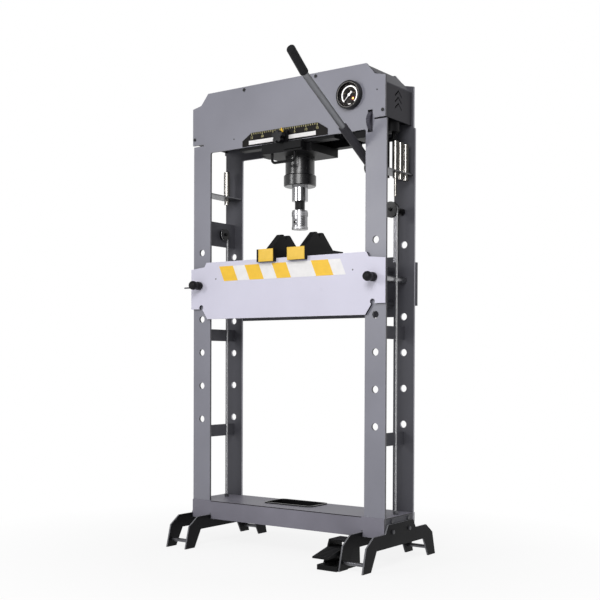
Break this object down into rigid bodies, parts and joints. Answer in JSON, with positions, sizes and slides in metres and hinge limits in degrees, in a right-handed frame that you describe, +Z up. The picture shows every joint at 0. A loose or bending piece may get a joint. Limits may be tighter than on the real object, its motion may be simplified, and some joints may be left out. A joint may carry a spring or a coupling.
{
  "type": "workshop press",
  "caption": "Floor-standing hydraulic workshop press: portal frame of flat plates, height-adjustable pinned bed with V-blocks, sliding ram carriage, hand pump lever, gauge and floor pedal.",
  "frame": {"origin": "on the floor, in the middle of the whole machine's box, below the lever's reach", "axes": "+X to the right of someone who faces the gauge, +Y away from them, +Z up"},
  "size_m": [0.902, 0.7694, 1.753],
  "materials": {
    "frame_grey": "satin powder coat",
    "charcoal": "satin powder coat",
    "base_grey": "satin powder coat",
    "bed_lavender": "satin powder coat",
    "black_paint": "satin paint",
    "black_iron": "painted casting",
    "bright_steel": "ground and polished",
    "steel": "plain",
    "rubber": "matt",
    "black_plastic": "matt",
    "yellow": "gloss paint",
    "dial_black": "matt",
    "white": "matt",
    "glass": "clear"
  },
  "bodies": {
    "frame": {"front_frame_plate": "frame_grey", "rear_frame_plate": "frame_grey", "beam_cover": "charcoal", "beam_end_plates": "charcoal", "beam_rails": "black_paint", "column_spacers": "charcoal", "base_tray": "base_grey", "base_tool_well": "black_plastic", "base_end_covers": "black_paint", "foot_plate_left_outer": "black_paint", "foot_plate_left_inner": "black_paint", "foot_plate_right_outer": "black_paint", "foot_plate_right_inner": "black_paint", "foot_rods": "steel", "bed_front_plate": "bed_lavender", "bed_rear_plate": "charcoal", "bed_spacer_tubes": "charcoal", "scale_plate": "dial_black", "gauge_case": "black_plastic", "gauge_dial": "dial_black", "gauge_glass": "glass", "pump_block": "black_iron", "oil_reservoir": "charcoal", "tool_shelf_left": "black_paint", "tool_shelf_right": "black_paint", "mandrels": "bright_steel", "rope_plate": "charcoal", "rope_wheels": "black_plastic", "rope_axles": "steel", "rope_left": "steel", "rope_right": "steel", "rope_fittings": "steel", "pedal_base": "black_iron", "frame_bolts": "black_paint", "pivot_pins": "steel"},
    "carriage": {"carriage_plate": "black_paint", "carriage_keeper": "black_paint", "clamp_block": "black_paint", "scale_pointer": "yellow", "carriage_handle": "black_paint", "cylinder_barrel": "black_paint", "cylinder_gland": "black_paint"},
    "clamp_knob": {"clamp_knob": "black_plastic"},
    "ram": {"piston_rod": "bright_steel", "ram_stud": "black_paint", "press_head": "bright_steel"},
    "pump_lever": {"lever_socket": "charcoal", "lever_tube": "charcoal", "lever_grip": "rubber"},
    "release_wheel": {"release_wheel": "black_plastic"},
    "needle": {"gauge_needle": "white"},
    "pin_left": {"bed_pin_left": "steel", "bed_pin_grip_left": "black_plastic"},
    "pin_right": {"bed_pin_right": "steel", "bed_pin_grip_right": "black_plastic"},
    "treadle": {"treadle": "black_iron"},
    "vblock_left": {"vblock_left": "black_iron", "vblock_face_left": "yellow"},
    "vblock_right": {"vblock_right": "black_iron", "vblock_face_right": "yellow"}
  },
  "joints": [
    {"name": "carriage_slide", "type": "slide", "parent": "frame", "child": "carriage", "axis": [1, 0, 0], "range_m": [-0.095, 0.095]},
    {"name": "clamp_knob_turn", "type": "hinge", "parent": "carriage", "child": "clamp_knob", "pos_m": [0, 0.01568, 1.536], "axis": [0, -1, 0], "range_deg": [0, 350]},
    {"name": "ram_stroke", "type": "slide", "parent": "carriage", "child": "ram", "axis": [0, 0, -1], "range_m": [0, 0.15], "stiffness_N_per_m": 1500, "springref_m": -0.15},
    {"name": "pump_lever_swing", "type": "hinge", "parent": "frame", "child": "pump_lever", "pos_m": [0.325, 0.12268, 1.406], "axis": [1, 0, 0], "range_deg": [-4, 50]},
    {"name": "release_wheel_turn", "type": "hinge", "parent": "frame", "child": "release_wheel", "pos_m": [0.366, 0.04668, 1.55], "axis": [1, 0, 0], "range_deg": [0, 270]},
    {"name": "gauge_needle_turn", "type": "hinge", "parent": "frame", "child": "needle", "pos_m": [0.291, 0.02068, 1.65], "axis": [0, 1, 0], "range_deg": [0, 270], "stiffness_Nm_per_rad": 0.002, "springref_deg": -22.92},
    {"name": "pin_left_draw", "type": "slide", "parent": "frame", "child": "pin_left", "axis": [0, -1, 0], "range_m": [0, 0.25]},
    {"name": "pin_right_draw", "type": "slide", "parent": "frame", "child": "pin_right", "axis": [0, -1, 0], "range_m": [0, 0.25]},
    {"name": "treadle_press", "type": "hinge", "parent": "frame", "child": "treadle", "pos_m": [0.306, -0.03232, 0.062], "axis": [1, 0, 0], "range_deg": [0, 12], "stiffness_Nm_per_rad": 6, "springref_deg": -17.19},
    {"name": "vblock_left_slide", "type": "slide", "parent": "frame", "child": "vblock_left", "axis": [-1, 0, 0], "range_m": [-0.03, 0.15]},
    {"name": "vblock_right_slide", "type": "slide", "parent": "frame", "child": "vblock_right", "axis": [1, 0, 0], "range_m": [-0.03, 0.15]}
  ]
}
